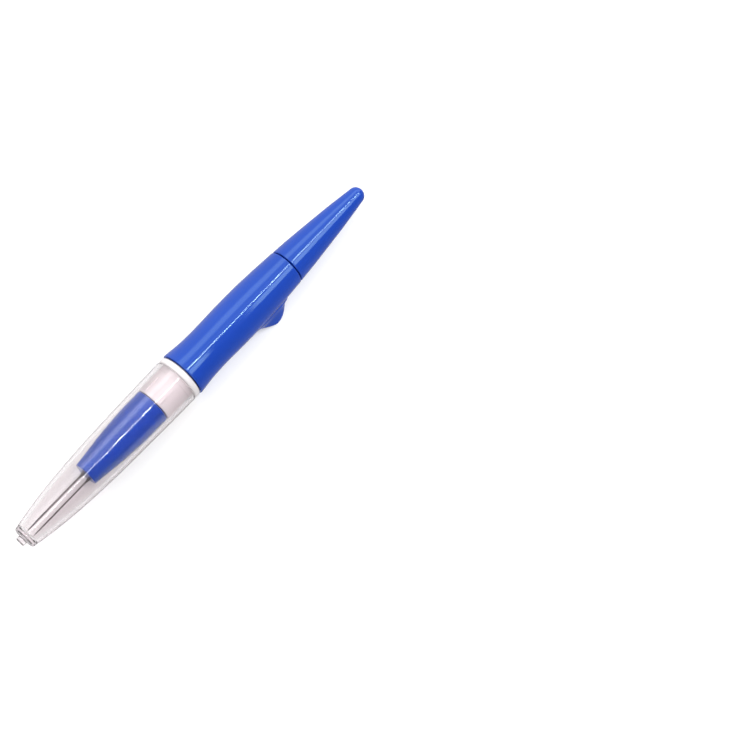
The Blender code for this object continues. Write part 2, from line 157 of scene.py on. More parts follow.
BARREL_PROFILE = (
    (0.0, 8.8), (3.0, 8.47), (7.0, 8.07), (13.5, 7.87), (24.0, 8.04),
    (34.0, 7.97), (42.0, 7.58), (48.0, 7.2), (52.0, 6.93),
)
BARREL_OUTSIDE = 6.83      # closer to the axis are only its bores and end faces
TAIL_PROFILE = (
    (0.0, 6.85), (7.5, 6.25), (15.5, 5.42), (23.5, 4.58), (31.0, 3.63), (35.25, 3.05),
)
TAIL_TIP_RADIUS = 3.05
TAIL_TIP_STEPS = 12
NOSE_PROFILE = (
    (0.0, 4.42), (6.4, 5.17), (12.4, 5.87), (18.4, 6.36), (24.4, 6.62), (32.1, 6.62),
)
LUG_STATION = BARREL_FRONT + 36.5
LUG_FRONT_LENGTH = 6.8
LUG_REAR_LENGTH = 7.5
LUG_ANGLE = 50.0
LUG_TOP = 12.0             # distances from the pen's axis
LUG_FOOT = 7.8             # tops of the lug's two ends
LUG_BASE = 7.1             # where it is widest
LUG_BASE_HALF_WIDTH = 3.3
LUG_TIP_HALF_WIDTH = 0.6
LUG_FRONT_BULGE = 0.3      # how far its outline bows out ahead of the tip
LUG_REAR_BULGE = 1.2       # and behind it
LUG_NARROWS_AT = 0.6       # share of the way from the tip to an end
LUG_NARROWING = 3.0        # lost from its half width over a whole such way
LUG_SPAN = 60.0            # degrees to each side, past the foot of its flanks
LUG_END = 1.2              # past this share of the way it is inside the barrel
LUG_TIP_ROUNDING = 0.002   # eases the outline's corner at the tip
LUG_TIP_LIFT = 0.02        # gives back part of the height that this takes off
LUG_LEAST_HEIGHT = 0.1     # least height above its base that its flanks are cut for
LUG_EDGE_ROUND = 0.5
LUG_FILLET = 1.8
LUG_STEP = 0.75            # degrees between the barrel's points round the lug
LUG_STEP_SPAN = 30.0       # degrees to each side
BARREL_STEP = 2.5          # degrees between its points elsewhere

STEM_BORE_DEPTH = 12.0     # of the barrel's front bore, behind the cup's rim
MIDDLE_BORE_RADIUS = 6.0
TAIL_BORE_RADIUS = 5.5
TAIL_BORE_DEPTH = 10.0     # ahead of the tail's shoulder
TAIL_SPIGOT_RADIUS = 5.2
TAIL_SPIGOT_LENGTH = 9.0
CORE_RADIUS = 4.0          # of the hollow in the tail
CORE_TIP_RADIUS = 1.8
CORE_TAPER_START = 5.0     # behind the tail's shoulder
CORE_DEPTH = 24.0

KEY_ANGLE = 20.0
KEY_LOW = 4.6              # starts inside the spigot
KEY_HIGH = 6.5
KEY_WIDTH = 1.6
KEY_REACH = 1.3            # ahead of the tail's shoulder
KEY_LENGTH = 2.3
NOTCH_HIGH = 8.0           # the notch is the key's seat in the barrel
NOTCH_WIDTH = 2.2
NOTCH_DEPTH = 1.6
NOTCH_LENGTH = 3.0         # runs out past the barrel's rear face

# The pen's axes, from the mount on the nib's end face, and with them the transform
# from millimetres along and across the pen to the row frame's metres.
MOUNT = next(m for m in frame["record"]["mounts"] if m["name"] == "cap_end")
ALONG = -Vector(MOUNT["axis"]).normalized()
SIDE = Vector((0.0, 1.0, 0.0))
UP = ALONG.cross(SIDE)
MOUNT_HEIGHT = 0.8         # of the mount, above the axis
NIB_END = Vector(MOUNT["pos_m"]) - UP * MOUNT_HEIGHT * MM
PEN = Matrix((
    (ALONG.x, SIDE.x, UP.x, 0.0),
    (ALONG.y, SIDE.y, UP.y, 0.0),
    (ALONG.z, SIDE.z, UP.z, 0.0),
    (0.0, 0.0, 0.0, 1.0),
))
PEN.translation = NIB_END + ALONG * NIB_LENGTH * MM
PEN = PEN @ Matrix.Scale(MM, 4)


def direction(angle_deg):
    """Unit vector across the pen, turned from straight down towards -y."""
    angle = math.radians(angle_deg)
    return Vector((0.0, -math.sin(angle), -math.cos(angle)))


# ---------------------------------------------------------------- outlines


def smooth(profile, start, step=0.8):
    """Points about step apart on a smooth curve through a profile's points."""
    slopes = []
    for index in range(len(profile)):
        before = profile[max(index - 1, 0)]
        after = profile[min(index + 1, len(profile) - 1)]
        slopes.append((after[1] - before[1]) / (after[0] - before[0]))
    points = []
    for index in range(len(profile) - 1):
        (x0, r0), (x1, r1) = profile[index], profile[index + 1]
        span = x1 - x0
        count = max(1, round(span / step))
        for k in range(count):
            t = k / count
            radius = (
                (1 + 2 * t) * (1 - t) ** 2 * r0
                + t * t * (3 - 2 * t) * r1
                + span * t * (1 - t) * ((1 - t) * slopes[index] - t * slopes[index + 1])
            )
            points.append((start + x0 + t * span, radius))
    points.append((start + profile[-1][0], profile[-1][1]))
    return points


def rounded(points, steps=6):
    """Outline with its corners rounded: a third number on a point is its radius.

    A rounding takes no more than 0.49 of the stretches beside it.
    """
    outline = []
    for index, point in enumerate(points):
        here = Vector(point[:2])
        if len(point) == 2 or index in (0, len(points) - 1):
            outline.append(tuple(here))
            continue
        back = Vector(points[index - 1][:2]) - here
        ahead = Vector(points[index + 1][:2]) - here
        opening = back.angle(ahead)
        radius = min(
            point[2], 0.49 * min(back.length, ahead.length) * math.tan(opening / 2)
        )
        back.normalize()
        ahead.normalize()
        centre = here + (back + ahead).normalized() * radius / math.sin(opening / 2)
        first = here + back * radius / math.tan(opening / 2) - centre
        last = here + ahead * radius / math.tan(opening / 2) - centre
        for k in range(steps + 1):
            t = k / steps
            spoke = (first * (1 - t) + last * t).normalized() * radius
            outline.append(tuple(centre + spoke))
    return outline


def dense(outline, longest=2.5):
    """Split long stretches, so that long faces aren't needle-thin."""
    points = [outline[0]]
    for (x0, r0), (x1, r1) in zip(outline, outline[1:]):
        if r0 > 0.0 and r1 > 0.0:
            count = max(1, math.ceil(math.hypot(x1 - x0, r1 - r0) / longest))
            for k in range(1, count):
                points.append((x0 + (x1 - x0) * k / count, r0 + (r1 - r0) * k / count))
        points.append((x1, r1))
    return points


def turned(outline, radius_at=None, angles=None):
    """Mesh of revolution from (station, radius) points, axis to axis or a closed loop.

    radius_at(station, angle, radius) may raise or lower single points.
    """
    angles = angles or [k * 360.0 / AROUND for k in range(AROUND)]
    count = len(angles)
    bm = bmesh.new()
    rings = []
    for station, radius in outline:
        if radius < 1e-6:
            rings.append([bm.verts.new((station, 0.0, 0.0))])
            continue
        ring = []
        for angle in angles:
            reach = radius_at(station, angle, radius) if radius_at else radius
            ring.append(bm.verts.new(Vector((station, 0.0, 0.0)) + direction(angle) * reach))
        rings.append(ring)
    pairs = list(zip(rings, rings[1:]))
    if outline[0][1] > 1e-6:
        pairs.append((rings[-1], rings[0]))
    for ring_a, ring_b in pairs:
        for k in range(count):
            corners = [ring_a[k % len(ring_a)], ring_a[(k + 1) % count % len(ring_a)]]
            corners += [ring_b[(k + 1) % count % len(ring_b)], ring_b[k % len(ring_b)]]
            bm.faces.new(list(dict.fromkeys(corners)))
    return bm


def add_prism(bm, corners_front, length):
    """Closed prism along the pen, from the corners of its front face."""
    front = [bm.verts.new(corner) for corner in corners_front]
    rear = [bm.verts.new(corner + Vector((length, 0.0, 0.0))) for corner in corners_front]
    bm.faces.new(front)
    bm.faces.new(reversed(rear))
    for k in range(len(front)):
        following = (k + 1) % len(front)
        bm.faces.new((front[k], rear[k], rear[following], front[following]))


def bar(start, angle_deg, low, high, width):
    """Corners of the front face of a bar along the pen, from radius low to high."""
    outward = direction(angle_deg)
    across = direction(angle_deg + 90.0) * (width / 2)
    origin = Vector((start, 0.0, 0.0))
    return [
        origin + outward * low - across,
        origin + outward * high - across,
        origin + outward * high + across,
        origin + outward * low + across,
    ]


# ---------------------------------------------------------------- objects


def finish_mesh(bm, name, sharp=SHARP):
    """Object in the row frame from a bmesh in the pen's millimetres."""
    bmesh.ops.recalc_face_normals(bm, faces=bm.faces)
    mesh = bpy.data.meshes.new(name)
    bm.to_mesh(mesh)
    bm.free()
    mesh.transform(PEN)
    mesh.shade_smooth()
    mesh.set_sharp_from_angle(angle=math.radians(sharp))
    obj = bpy.data.objects.new(name, mesh)
    bpy.context.scene.collection.objects.link(obj)
    return obj


def combine(obj, bm, operation="DIFFERENCE", sharp=SHARP):
    """Cut the shape in bm out of obj, or join it on, and keep only the result."""
    tool = finish_mesh(bm, "tool")
    modifier = obj.modifiers.new("shape", "BOOLEAN")
    modifier.operation = operation
    modifier.solver = "EXACT"
    modifier.object = tool
    depsgraph = bpy.context.evaluated_depsgraph_get()
    mesh = bpy.data.meshes.new_from_object(obj.evaluated_get(depsgraph))
    obj.modifiers.clear()
    old = obj.data
    obj.data = mesh
    mesh.name = old.name
    bpy.data.meshes.remove(old)
    old = tool.data
    bpy.data.objects.remove(tool)
    bpy.data.meshes.remove(old)
    mesh.shade_smooth()
    mesh.set_sharp_from_angle(angle=math.radians(sharp))


def dress(obj, node, body, material):
    """Give a piece its material, and let it stand for its CAD node."""
    obj.data.materials.clear()
    obj.data.materials.append(material)
    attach(obj, body)
    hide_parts(node)


def needle_holes(start, end, radius):
    """Three round pins, to cut the needles' holes with."""
    bm = bmesh.new()
    for angle in NEEDLE_ANGLES:
        centre = direction(angle) * NEEDLE_CIRCLE + Vector((start, 0.0, 0.0))
        turns = [k * 360.0 / HOLE_SIDES for k in range(HOLE_SIDES)]
        corners = [centre + direction(turn) * radius for turn in turns]
        add_prism(bm, corners, end - start)
    return bm


# ---------------------------------------------------------------- pieces


def cap_radius(station):
    """Outside of the cap: a long ogive from its closed end to its mouth."""
    u = station / CAP_MOUTH
    growth = CAP_STRAIGHT * u + (1.0 - CAP_STRAIGHT) * (1.0 - (1.0 - u) ** 4)
    return CAP_END_RADIUS + (CAP_MOUTH_RADIUS - CAP_END_RADIUS) * growth


def make_cap(material):
    stations = CAP_END_STATIONS + CAP_SIDE_STATIONS
    outside = [(s, cap_radius(s)) for s in stations]
    inside = [(s, cap_radius(s) - CAP_WALL) for s in stations if s > CAP_INSIDE_START]
    inner_end = CAP_WALL + GAP
    inner_radius = cap_radius(CAP_INNER_WIDEST) - CAP_WALL
    outline = rounded(
        [
            (-NIB_LENGTH, 0.0),
            (-NIB_LENGTH, NIB_RADIUS, 0.45),
            (0.0, NIB_RADIUS, 0.25),
            (0.0, cap_radius(GAP), CAP_CORNER),
        ]
        + outside
        + [
            (CAP_MOUTH, CAP_MOUTH_RADIUS, 0.3),
            (CAP_MOUTH, CAP_MOUTH_RADIUS - CAP_LIP, 0.25),
            (CAP_MOUTH - CAP_LEAD_IN, CAP_MOUTH_RADIUS - CAP_WALL, 0.3),
        ]
        + inside[::-1]
        + [(inner_end, inner_radius, CAP_INNER_CORNER), (inner_end, 0.0)]
    )
    cap = finish_mesh(turned(outline), "cap_shell")
    dress(cap, "cap", "cap", material)


def make_nose(material):
    socket = NOSE_SPIGOT_RADIUS + FIT
    socket_front = NOSE_SPIGOT_FRONT - SOCKET_END_GAP
    wall_rear = NOSE_FRONT + NOSE_WALL
    rear = NOSE_REAR - GAP
    profile = smooth(NOSE_PROFILE, NOSE_FRONT)
    outline = rounded(
        [(NOSE_FRONT, 0.0), (NOSE_FRONT, profile[0][1], 0.35)]
        + profile[1:-1]
        + [
            (rear, profile[-1][1], 0.3),
            (rear, socket, 0.2),
            (socket_front, socket),
            (socket_front - NOSE_SHOULDER, NOSE_BORE_REAR),
            (wall_rear, NOSE_BORE_FRONT, 0.4),
            (wall_rear, 0.0),
        ]
    )
    nose = finish_mesh(turned(dense(outline)), "nose_cone_shell")
    pins = needle_holes(NOSE_FRONT - OVERSHOOT, wall_rear + OVERSHOOT, NOSE_HOLE_RADIUS)
    combine(nose, pins)
    dress(nose, "nose_cone", "nose", material)


def needle_path():
    """(station, distance from the pen's axis, radius, roundness) along a needle.

    Roundness is that of its section: 0 is a sharp triangle and 1 a circle.
    """
    path = [
        (NEEDLE_TIP + behind, NEEDLE_CIRCLE, radius, roundness)
        for behind, radius, roundness in POINT_SECTIONS
    ]
    start = NEEDLE_TIP + BLADE_START
    stations = {round(start + BLADE_STEP * k, 3) for k in range(BLADE_SECTIONS)}
    for barb in BARB_STATIONS:
        stations |= {barb + offset for offset in BARB_SECTIONS}
    for station in sorted(stations):
        if station < BLADE_END - BLADE_TAIL:
            grown = min(1.0, (station - NEEDLE_TIP) / POINT_TAPER)
            radius = BLADE_RADIUS * (POINT_SHARE + (1.0 - POINT_SHARE) * grown)
            path.append((station, NEEDLE_CIRCLE, radius, BLADE_ROUNDNESS))
    path += [
        (BLADE_END + behind, NEEDLE_CIRCLE, radius, roundness)
        for behind, radius, roundness in BLADE_END_SECTIONS
    ]
    path += [
        (MIDDLE_START, NEEDLE_CIRCLE, MIDDLE_RADIUS, 1.0),
        (MIDDLE_END, NEEDLE_CIRCLE, MIDDLE_RADIUS, 1.0),
        (SHANK_START, NEEDLE_CIRCLE, SHANK_RADIUS, 1.0),
    ]
    bend_centre = CRANK_REAR - SHANK_RADIUS - CRANK_BEND
    for k in range(CRANK_BEND_STEPS + 1):
        turn = math.radians(90.0 * k / CRANK_BEND_STEPS)
        path.append((
            bend_centre + CRANK_BEND * math.sin(turn),
            NEEDLE_CIRCLE + CRANK_BEND * (1.0 - math.cos(turn)),
            SHANK_RADIUS,
            1.0,
        ))
    end = bend_centre + CRANK_BEND
    path.append((end, CRANK_REACH - CRANK_CHAMFER, SHANK_RADIUS, 1.0))
    path.append((end, CRANK_REACH, SHANK_RADIUS - CRANK_CHAMFER, 1.0))
    return path


def needle_reach(station, turn, radius, roundness):
    """Radius of a needle's section at one turn: a rounded triangle, with its barbs."""
    side = (math.degrees(turn) % 120.0) - 60.0
    flat = radius * 0.5 / math.cos(math.radians(side))
    reach = flat + (radius - flat) * roundness
    reach = min(reach, radius * BLADE_TRUNCATION) if roundness < 0.5 else reach
    edge = round(math.degrees(turn) / 120.0) % 3
    near_edge = abs((math.degrees(turn) + 60.0) % 120.0 - 60.0) < BARB_HALF_ANGLE
    for index, barb in enumerate(BARB_STATIONS):
        along = station - barb
        in_barb = -BARB_TOLERANCE <= along < BARB_LENGTH - BARB_TOLERANCE
        if index % 3 == edge and near_edge and in_barb:
            slope = max(0.0, along - BARB_FLAT) / (BARB_LENGTH - BARB_FLAT)
            reach *= 1.0 - max(0.0, BARB_DEPTH * (1.0 - slope))
    return reach


def make_needles(material):
    """Sweep a section along each needle's path, from its point to its cranked end."""
    path = needle_path()
    along = Vector((1.0, 0.0, 0.0))
    for index, angle in enumerate(NEEDLE_ANGLES):
        outward = direction(angle)
        side = along.cross(outward)
        bm = bmesh.new()
        rings = []
        for k, (station, reach, radius, roundness) in enumerate(path):
            before = path[max(k - 1, 0)]
            after = path[min(k + 1, len(path) - 1)]
            tangent = along * (after[0] - before[0]) + outward * (after[1] - before[1])
            normal = tangent.normalized().cross(side)
            centre = along * station + outward * reach
            ring = []
            for step in range(NEEDLE_STEPS):
                turn = 2.0 * math.pi * step / NEEDLE_STEPS
                spoke = side * math.cos(turn) + normal * math.sin(turn)
                ring.append(bm.verts.new(
                    centre + spoke * needle_reach(station, turn, radius, roundness)
                ))
            rings.append(ring)
        for ring_a, ring_b in zip(rings, rings[1:]):
            for k in range(NEEDLE_STEPS):
                following = (k + 1) % NEEDLE_STEPS
                bm.faces.new((ring_a[k], ring_a[following], ring_b[following], ring_b[k]))
        bm.faces.new(rings[0])
        bm.faces.new(rings[-1])
        needle = finish_mesh(bm, f"felting_needle_{index + 1}")
        dress(needle, f"needle_{index + 1}", "holder", material)


def make_holder(material):
    outline = rounded([
        (NOSE_SPIGOT_FRONT, 0.0),
        (NOSE_SPIGOT_FRONT, NOSE_SPIGOT_RADIUS, 0.6),
        (NOSE_REAR, NOSE_SPIGOT_RADIUS, 0.15),
        (NOSE_REAR, SPIGOT_RADIUS, 0.2),
        (RING_FRONT, SPIGOT_RADIUS, 0.3),
        (RING_FRONT, RING_RADIUS, 0.6),
        (RING_REAR, RING_RADIUS, 0.6),
        (RING_REAR, STEM_RADIUS, 0.2),
        (CUP_RIM, STEM_RADIUS, 0.3),
        (CUP_RIM, CUP_RADIUS, 0.2),
        (CUP_FLOOR, CUP_RADIUS, 0.2),
        (CUP_FLOOR, 0.0),
    ])
    holder = finish_mesh(turned(dense(outline)), "needle_holder_core")
    start = NOSE_SPIGOT_FRONT - OVERSHOOT
    combine(holder, needle_holes(start, CUP_FLOOR + OVERSHOOT, HOLDER_HOLE_RADIUS))

    # A three-armed slot in the cup's floor, which keeps the cranked ends from turning.
    half_width = SHANK_RADIUS + GAP
    corners = []
    for angle in NEEDLE_ANGLES:
        outward = direction(angle)
        across = direction(angle + 90.0) * half_width
        reach = CRANK_REACH + CRANK_SLOT_END_GAP
        corners += [outward * reach - across, outward * reach + across]
        corners.append(direction(angle + 60.0) * half_width / math.sin(math.radians(60.0)))
    slot_front = CRANK_REAR - 2 * SHANK_RADIUS - GAP
    bm = bmesh.new()
    start = Vector((slot_front, 0.0, 0.0))
    add_prism(bm, [start + corner for corner in corners], CRANK_SLOT_LENGTH)
    combine(holder, bm)

    # Low ribs that grip the inside of the cap, with sloped front ends.
    bm = bmesh.new()
    foot = SPIGOT_RADIUS - RIB_ROOT
    top = SPIGOT_RADIUS + RIB_HEIGHT
    slope_end = RIB_FRONT + RIB_SLOPE
    for k in range(RIB_COUNT):
        angle = (k + 0.5) * 360.0 / RIB_COUNT
        low = bar(RIB_FRONT, angle, foot, SPIGOT_RADIUS, RIB_BASE_WIDTH)
        crest = bar(slope_end, angle, foot, top, RIB_CREST_WIDTH)
        crest[0] = low[0] + Vector((RIB_SLOPE, 0.0, 0.0))
        crest[3] = low[3] + Vector((RIB_SLOPE, 0.0, 0.0))
        rear = [corner + Vector((RIB_REAR - slope_end, 0.0, 0.0)) for corner in crest]
        loops = [[bm.verts.new(corner) for corner in loop] for loop in (low, crest, rear)]
        bm.faces.new(loops[0])
        bm.faces.new(reversed(loops[-1]))
        for loop_a, loop_b in zip(loops, loops[1:]):
            for n in range(4):
                following = (n + 1) % 4
                bm.faces.new((loop_a[n], loop_b[n], loop_b[following], loop_a[following]))
    combine(holder, bm, "UNION", RIB_SHARP)
    dress(holder, "needle_holder", "holder", material)


def make_retainer(material):
    front = CUP_FLOOR + GAP
    plug = CUP_RADIUS - GAP
    flange_front = CUP_RIM + GAP
    flange_rear = flange_front + FLANGE_THICKNESS
    flange = STEM_RADIUS - GAP
    outline = rounded([
        (front, 0.0),
        (front, plug, 0.6),
        (flange_front, plug, 0.1),
        (flange_front, flange, 0.15),
        (flange_rear, flange, 0.35),
        (flange_rear, 0.0),
    ])
    retainer = finish_mesh(turned(dense(outline)), "needle_retainer_plug")
    bm = bmesh.new()
    start = flange_rear - COIN_SLOT_DEPTH
    reach = flange + OVERSHOOT
    slot = bar(start, COIN_SLOT_ANGLE, -reach, reach, COIN_SLOT_WIDTH)
    add_prism(bm, slot, COIN_SLOT_CUT)
    combine(retainer, bm)
    dress(retainer, "needle_retainer", "retainer", material)


def soft_max(a, b, blend):
    """The larger of two heights, with a fillet of about blend where they cross."""
    h = max(blend - abs(a - b), 0.0) / blend
    return max(a, b) + h * h * blend / 4.0


def soft_min(a, b, blend):
    """The smaller of two heights, with the corner where they cross rounded off."""
    return -soft_max(-a, -b, blend)


def lug_reach(station, angle):
    """Distance of the lug's surface from the pen's axis, or 0 where it has none."""
    offset = station - LUG_STATION
    offset /= LUG_FRONT_LENGTH if offset < 0.0 else LUG_REAR_LENGTH
    turn = math.radians(abs((angle - LUG_ANGLE + 180.0) % 360.0 - 180.0))
    if abs(offset) > LUG_END or turn > math.radians(LUG_SPAN):
        return 0.0
    # The share of the way from the tip to an end, with the corner at the tip eased.
    run = math.sqrt(offset * offset + LUG_TIP_ROUNDING) - LUG_TIP_LIFT
    bulge = LUG_FRONT_BULGE if offset < 0.0 else LUG_REAR_BULGE
    rise = (1.0 - run) * (1.0 + bulge * run)
    top = LUG_FOOT + (LUG_TOP - LUG_FOOT) * rise
    narrowing = LUG_NARROWING * max(0.0, abs(offset) - LUG_NARROWS_AT)
    half_width = LUG_BASE_HALF_WIDTH - narrowing
    spread = (half_width - LUG_TIP_HALF_WIDTH) / max(top - LUG_BASE, LUG_LEAST_HEIGHT)
    crown = top / math.cos(turn)
    flank = (LUG_TIP_HALF_WIDTH + spread * top) / (math.sin(turn) + spread * math.cos(turn))
    side = half_width / max(math.sin(turn), 1e-3)
    return min(soft_min(crown, flank, LUG_EDGE_ROUND), side)


def barrel_reach(station, angle, radius):
    """The barrel's outside, with the lug grown out of it and nothing below the table."""
    if radius < BARREL_OUTSIDE:
        return radius
    reach = soft_max(radius, lug_reach(station, angle), LUG_FILLET)
    slope = (PEN.to_3x3() @ direction(angle)).z
    if slope < -1e-6:
        reach = min(reach, (PEN @ Vector((station, 0.0, 0.0))).z / -slope)
    return reach


def make_barrel(material):
    bore = STEM_RADIUS + GAP
    bore_end = CUP_RIM + STEM_BORE_DEPTH
    tail_bore_start = TAIL_FRONT - TAIL_BORE_DEPTH
    profile = smooth(BARREL_PROFILE, BARREL_FRONT, step=0.4)
    outline = rounded(
        [(BARREL_FRONT, bore, 0.3), (BARREL_FRONT, profile[0][1], 0.35)]
        + profile[2:-2]
        + [
            (BARREL_REAR, profile[-1][1], 0.35),
            (BARREL_REAR, TAIL_BORE_RADIUS, 0.2),
            (tail_bore_start, TAIL_BORE_RADIUS),
            (tail_bore_start, MIDDLE_BORE_RADIUS),
            (bore_end, MIDDLE_BORE_RADIUS),
            (bore_end, bore),
        ]
    )
    angles = []
    angle = 0.0
    while angle < 360.0:
        angles.append(angle)
        angle += LUG_STEP if abs(angle - LUG_ANGLE) < LUG_STEP_SPAN else BARREL_STEP
    shell = turned(dense(outline), barrel_reach, angles)
    barrel = finish_mesh(shell, "barrel_shell", BARREL_SHARP)
    bm = bmesh.new()
    notch = bar(BARREL_REAR - NOTCH_DEPTH, KEY_ANGLE, KEY_LOW, NOTCH_HIGH, NOTCH_WIDTH)
    add_prism(bm, notch, NOTCH_LENGTH)
    combine(barrel, bm, sharp=BARREL_SHARP)
    dress(barrel, "barrel", "barrel", material)


def make_tail(material):
    profile = smooth(TAIL_PROFILE, TAIL_FRONT)
    centre = TAIL_TIP - TAIL_TIP_RADIUS
    tip = []
    for k in range(1, TAIL_TIP_STEPS):
        turn = math.radians(90.0 * k / TAIL_TIP_STEPS)
        tip.append((
            centre + TAIL_TIP_RADIUS * math.sin(turn),
            TAIL_TIP_RADIUS * math.cos(turn),
        ))
    spigot_front = TAIL_FRONT - TAIL_SPIGOT_LENGTH
    core_end = TAIL_FRONT + CORE_DEPTH
    outline = rounded(
        [(TAIL_TIP, 0.0)]
        + (profile[1:] + tip)[::-1]
        + [
            (TAIL_FRONT, profile[0][1], 0.35),
            (TAIL_FRONT, TAIL_SPIGOT_RADIUS, 0.15),
            (spigot_front, TAIL_SPIGOT_RADIUS, 0.5),
            (spigot_front, CORE_RADIUS, 0.2),
            (TAIL_FRONT + CORE_TAPER_START, CORE_RADIUS),
            (core_end, CORE_TIP_RADIUS, 0.5),
            (core_end, 0.0),
        ]
    )
    tail = finish_mesh(turned(dense(outline)), "tail_cone_shell")
    bm = bmesh.new()
    key = bar(TAIL_FRONT - KEY_REACH, KEY_ANGLE, KEY_LOW, KEY_HIGH, KEY_WIDTH)
    add_prism(bm, key, KEY_LENGTH)
    combine(tail, bm, "UNION")
    dress(tail, "tail_cone", "tail", material)


# ---------------------------------------------------------------- materials

# A pair of colours or roughnesses is the two ends of a faint mottle.
BLUE = ((0.008, 0.044, 0.350), (0.011, 0.052, 0.390))
BLUE_ROUGHNESS = 0.11
BLUE_WAVES = 0.35
BLUE_GLOSS = (0.6, 0.95, 1.0)  # tint of its reflections
WHITE = ((0.67, 0.64, 0.645), (0.71, 0.68, 0.685))
WHITE_ROUGHNESS = 0.42
WHITE_WAVES = 0.2
MOULDED_IOR = 1.58
MOULDED_HAZE = (0.85, 1.25)    # lowest and highest roughness, as shares of the mean
CLEAR = ((0.887, 0.871, 0.875), (0.906, 0.890, 0.894))
CLEAR_ROUGHNESS = (0.05, 0.10)
CLEAR_IOR = 1.5
CLEAR_TO_LAMPS = (0.84, 0.79, 0.81)     # lamps' light passes each of its surfaces
CLEAR_ABSORPTION = (0.56, 0.495, 0.52)  # colour and density of what its body absorbs
CLEAR_DENSITY = 120.0
STEEL = ((0.07, 0.062, 0.066), (0.16, 0.145, 0.15))
STEEL_ROUGHNESS = (0.22, 0.42)
FLOOR = ((0.63, 0.63, 0.63), (0.65, 0.65, 0.65))
FLOOR_GLOW = 0.33
FLOOR_ROUGHNESS = 0.7
FLOOR_HALF_SIZE = 1.5          # metres


def new_material(name):
    material = bpy.data.materials.new(name)
    material.use_nodes = True
    tree = material.node_tree
    return material, tree, tree.nodes["Principled BSDF"]


def noise(tree, scale, detail=3.0, stretch=(1.0, 1.0, 1.0)):
    """Noise over the piece in millimetres, stretched along its axes."""
    coordinates = tree.nodes.new("ShaderNodeTexCoord")
    mapping = tree.nodes.new("ShaderNodeMapping")
    mapping.inputs["Scale"].default_value = [s / MM for s in stretch]
    texture = tree.nodes.new("ShaderNodeTexNoise")
    texture.inputs["Scale"].default_value = scale
    texture.inputs["Detail"].default_value = detail
    tree.links.new(coordinates.outputs["Object"], mapping.inputs["Vector"])
    tree.links.new(mapping.outputs["Vector"], texture.inputs["Vector"])
    return texture.outputs["Fac"]


def ramp(tree, value, low, high, start=0.35, end=0.65):
    """Map a noise value to a range of numbers or of colours."""
    if isinstance(low, tuple):
        node = tree.nodes.new("ShaderNodeValToRGB")
        node.color_ramp.elements[0].position = start
        node.color_ramp.elements[1].position = end
        node.color_ramp.elements[0].color = (*low, 1.0)
        node.color_ramp.elements[1].color = (*high, 1.0)
        tree.links.new(value, node.inputs["Fac"])
        return node.outputs["Color"]
    node = tree.nodes.new("ShaderNodeMapRange")
    node.inputs["From Min"].default_value = start
    node.inputs["From Max"].default_value = end
    node.inputs["To Min"].default_value = low
    node.inputs["To Max"].default_value = high
    tree.links.new(value, node.inputs["Value"])
    return node.outputs["Result"]


def bump(tree, height, strength, distance_mm, normal=None):
    """Normal from a height, laid over another normal where one is given."""
    node = tree.nodes.new("ShaderNodeBump")
    node.inputs["Strength"].default_value = strength
    node.inputs["Distance"].default_value = distance_mm * MM
    tree.links.new(height, node.inputs["Height"])
    if normal:
        tree.links.new(normal, node.inputs["Normal"])
    return node.outputs["Normal"]


def moulded_plastic(name, colours, roughness, waviness, gloss_tint=(1.0, 1.0, 1.0)):
    """Gloss plastic: faint flow marks in its colour, fine haze, slight waves."""
    material, tree, shader = new_material(name)
    flow = noise(tree, scale=0.05, detail=4.0, stretch=(0.35, 1.0, 1.0))
    tree.links.new(ramp(tree, flow, *colours), shader.inputs["Base Color"])
    haze = noise(tree, scale=1.6, detail=5.0)
    hazy = ramp(tree, haze, roughness * MOULDED_HAZE[0], roughness * MOULDED_HAZE[1])
    tree.links.new(hazy, shader.inputs["Roughness"])
    shader.inputs["IOR"].default_value = MOULDED_IOR
    shader.inputs["Specular Tint"].default_value = (*gloss_tint, 1.0)
    swell = noise(tree, scale=0.16, detail=1.0, stretch=(0.3, 1.0, 1.0))
    waves = bump(tree, swell, strength=waviness, distance_mm=0.08)
    fine = noise(tree, scale=9.0, detail=2.0)
    grain = bump(tree, fine, strength=0.25, distance_mm=0.0025, normal=waves)
    tree.links.new(grain, shader.inputs["Normal"])
    return material


def clear_plastic():
    """Clear polystyrene, faintly pink, which lets lamps light what is inside."""
    material, tree, shader = new_material("clear_plastic")
    tint = noise(tree, scale=0.06, detail=3.0, stretch=(0.3, 1.0, 1.0))
    tree.links.new(ramp(tree, tint, *CLEAR), shader.inputs["Base Color"])
    haze = noise(tree, scale=2.2, detail=5.0)
    tree.links.new(ramp(tree, haze, *CLEAR_ROUGHNESS), shader.inputs["Roughness"])
    shader.inputs["IOR"].default_value = CLEAR_IOR
    shader.inputs["Transmission Weight"].default_value = 1.0
    swell = noise(tree, scale=0.2, detail=1.0, stretch=(0.25, 1.0, 1.0))
    waves = bump(tree, swell, strength=0.12, distance_mm=0.05)
    tree.links.new(waves, shader.inputs["Normal"])

    lamp_light = tree.nodes.new("ShaderNodeBsdfTransparent")
    lamp_light.inputs["Color"].default_value = (*CLEAR_TO_LAMPS, 1.0)
    path = tree.nodes.new("ShaderNodeLightPath")
    mix = tree.nodes.new("ShaderNodeMixShader")
    output = tree.nodes["Material Output"]
    tree.links.new(path.outputs["Is Shadow Ray"], mix.inputs["Fac"])
    tree.links.new(shader.outputs["BSDF"], mix.inputs[1])
    tree.links.new(lamp_light.outputs["BSDF"], mix.inputs[2])
    tree.links.new(mix.outputs["Shader"], output.inputs["Surface"])

    absorption = tree.nodes.new("ShaderNodeVolumeAbsorption")
    absorption.inputs["Color"].default_value = (*CLEAR_ABSORPTION, 1.0)
    absorption.inputs["Density"].default_value = CLEAR_DENSITY
    tree.links.new(absorption.outputs["Volume"], output.inputs["Volume"])
    return material


